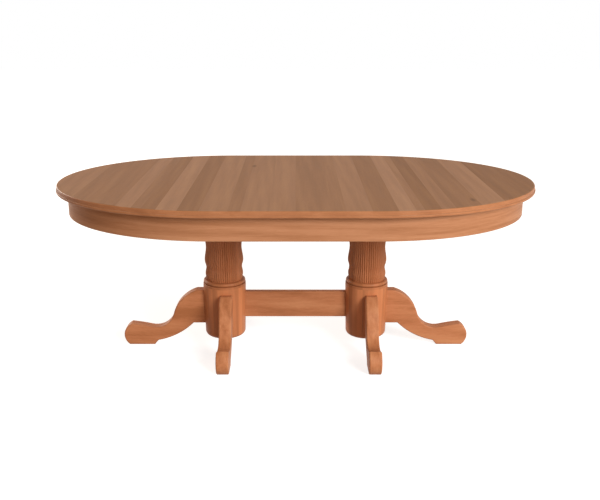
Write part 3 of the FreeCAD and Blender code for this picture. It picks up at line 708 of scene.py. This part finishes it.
finish_wood(
    tree, surface, place, BOARD_GRAIN, BOARD_COLOURS, tone, BOARD_ROUGHNESS, BOARD_LACQUER, depth,
)

# Rim cherry: the moulded rim, a little redder and shinier than the flat, whose greyer colour is painted
# sheen.
RIM_GRAIN = (0.3, 0.3, 1)
RIM_COLOURS = ("#A06743", "#AA6F49", "#B37750")
RIM_ROUGHNESS = 0.36
RIM_LACQUER = 0.08
rim_cherry, tree, place, surface = new_material("rim_cherry")
finish_wood(tree, surface, place, RIM_GRAIN, RIM_COLOURS, 1, RIM_ROUGHNESS, RIM_LACQUER)


def rim(underside):
    """The moulded rim as pairs of inset and height, from the flat of the top round to its underside."""
    crown = round_over(EDGE_STEP + CROWN_ROUND, table_height - CROWN_ROUND, CROWN_ROUND, 90, 180)
    step = [(EDGE_STEP, step_height + STEP_FALL)]
    shoulder = round_over(STEP_ROUND, step_height - STEP_ROUND, STEP_ROUND, 90, 180, STEP_ARC_STEPS)
    foot = round_over(FOOT_EDGE_ROUND, underside + FOOT_EDGE_ROUND, FOOT_EDGE_ROUND, 180, 270)
    return crown + step + shoulder + foot


def leaf_section(x, ceiling, ceiling_half):
    """The section of a leaf at x, with the ceilings of the slots that drop over the tongues of the end."""
    edge = rim(leaf_underside)
    ring = [(x, inwards - half_width, height) for inwards, height in edge]
    for line in TONGUE_LINES:
        for away, height in (
            (-slot_half, leaf_underside),
            (-ceiling_half, ceiling),
            (ceiling_half, ceiling),
            (slot_half, leaf_underside),
        ):
            ring.append((x, line + away, height))
    return ring + [(x, half_width - inwards, height) for inwards, height in reversed(edge)]


for side, way in SIDES.items():
    # The flat of each top takes the board colours with their painted sheen, and its upright rim takes the
    # rim colours.
    levels = [half_oval(inwards, height, way) for inwards, height in rim(end_underside)]
    node = f"{side}_end_panel"
    piece(f"{node}_boards", [levels], f"{side}_top", board_cherry_painted_sheen, node, edge=rim_cherry)
    # A plain section has as many points, with those of its slots laid flat in the underside.
    plain = [leaf_section(x * way, leaf_underside, slot_half / 2) for x in (0, slot_start)]
    slotted = [leaf_section(x * way, slot_top, slot_half) for x in (slot_start, leaf_width)]
    rings = plain + slotted
    node = f"{side}_leaf_panel"
    piece(f"{node}_boards", [rings], f"{side}_leaf", board_cherry_painted_sheen, node, edge=rim_cherry)


# Floor: a plain pale studio floor that keeps the table's shadow.
# The camera, and reflections, see it fade into the white background away from the table.
FLOOR_SIZE = 40
FADE_START = 1.5
FADE_END = 4
WHITE_NEAR = 0.82
WHITE_FAR = 0.95
floor_mesh = bpy.data.meshes.new("studio_floor")
half = FLOOR_SIZE / 2
corners = [(-half, -half, 0), (half, -half, 0), (half, half, 0), (-half, half, 0)]
floor_mesh.from_pydata(corners, [], [(0, 1, 2, 3)])
floor = bpy.data.objects.new("studio_floor", floor_mesh)
bpy.context.scene.collection.objects.link(floor)


def seen_directly(tree):
    """Whether a ray comes from the camera, or from it by way of a reflection or through glass."""
    path = add(tree, "LightPath").outputs
    seen = path["Is Camera Ray"]
    for kind in ("Is Glossy Ray", "Is Transmission Ray"):
        seen = add(tree, "Math", {0: seen, 1: path[kind]}, operation="MAXIMUM").outputs[0]
    return seen


# Floor paint: matt and pale, faintly clouded. FLOOR_CLOUD is in millimetres.
FLOOR_CLOUD = 300
FLOOR_COLOURS = ("#B8B8B8", "#BEBEBE")
FLOOR_ROUGHNESS = 0.9
WHITE = "#FFFFFF"
paint, tree, place, surface = new_material("pale_floor_paint")
colour = clouded(tree, place, FLOOR_CLOUD, FLOOR_COLOURS)
away = add(tree, "VectorMath", {0: place}, operation="LENGTH").outputs["Value"]
fade = add(tree, "MapRange", {
    "Value": away, "From Min": FADE_START, "From Max": FADE_END, "To Min": WHITE_NEAR, "To Max": WHITE_FAR,
}).outputs["Result"]
glow = add(tree, "Math", {0: seen_directly(tree), 1: fade}, operation="MULTIPLY").outputs[0]
skin = add(tree, "BsdfPrincipled", {
    "Base Color": colour, "Roughness": FLOOR_ROUGHNESS, "Specular IOR Level": 0,
    "Emission Color": linear(WHITE), "Emission Strength": glow,
})
tree.links.new(skin.outputs["BSDF"], surface)
floor_mesh.materials.append(paint)


# Light: a large soft lamp in front on the right, and a weaker one behind on the left.
# A dim warm room fills the shadows. The camera, and reflections, see the room as white.
LAMPS = {
    "key": {"power": 680, "colour": "#F4F9FF", "width": 2.8, "height": 3, "place": (4.34, -6.1, 3.5)},
    "back": {"power": 260, "colour": "#FFF4E6", "width": 3, "height": 3, "place": (-5, 4.4, 2.6)},
}
LAMP_AIM = (0, 0, 0.6)
ROOM_LIGHT = 0.35
ROOM_COLOUR = "#FFDDB8"
BACKDROP = 1
for name, values in LAMPS.items():
    lamp = bpy.data.lights.new(name, "AREA")
    lamp.energy = values["power"]
    lamp.color = linear(values["colour"])[:3]
    lamp.shape = "RECTANGLE"
    lamp.size = values["width"]
    lamp.size_y = values["height"]
    stand = bpy.data.objects.new(name, lamp)
    stand.location = values["place"]
    aim = Vector(LAMP_AIM) - Vector(values["place"])
    stand.rotation_euler = aim.to_track_quat("-Z", "Y").to_euler()
    bpy.context.scene.collection.objects.link(stand)
world = bpy.data.worlds.new("studio")
bpy.context.scene.world = world
world.use_nodes = True
tree = world.node_tree
tree.nodes.clear()
seen = seen_directly(tree)
strength = add(tree, "MapRange", {
    "Value": seen, "To Min": ROOM_LIGHT, "To Max": BACKDROP,
}).outputs["Result"]
colour = add(tree, "Mix", {
    "Factor": seen, 6: linear(ROOM_COLOUR), 7: linear(WHITE),
}, data_type="RGBA").outputs[2]
sky = add(tree, "Background", {"Color": colour, "Strength": strength})
tree.links.new(sky.outputs["Background"], add(tree, "OutputWorld").inputs["Surface"])


# Camera: a plain lens on the table's centre line, a little above it and tipped down.
# A slight shift sets the table in the frame.
CAMERA_DISTANCE = 3.369
CAMERA_HEIGHT = 1.424
CAMERA_TIP = 16.28
LENS_LENGTH = 47.52
LENS_SHIFT = 0.0074
lens = bpy.data.cameras.new("photo")
lens.lens = LENS_LENGTH
lens.shift_x = LENS_SHIFT
camera = bpy.data.objects.new("photo", lens)
camera.location = (0, -CAMERA_DISTANCE, CAMERA_HEIGHT)
camera.rotation_euler = (math.radians(90 - CAMERA_TIP), 0, 0)
bpy.context.scene.collection.objects.link(camera)
bpy.context.scene.camera = camera
bpy.context.scene.view_settings.view_transform = "Standard"
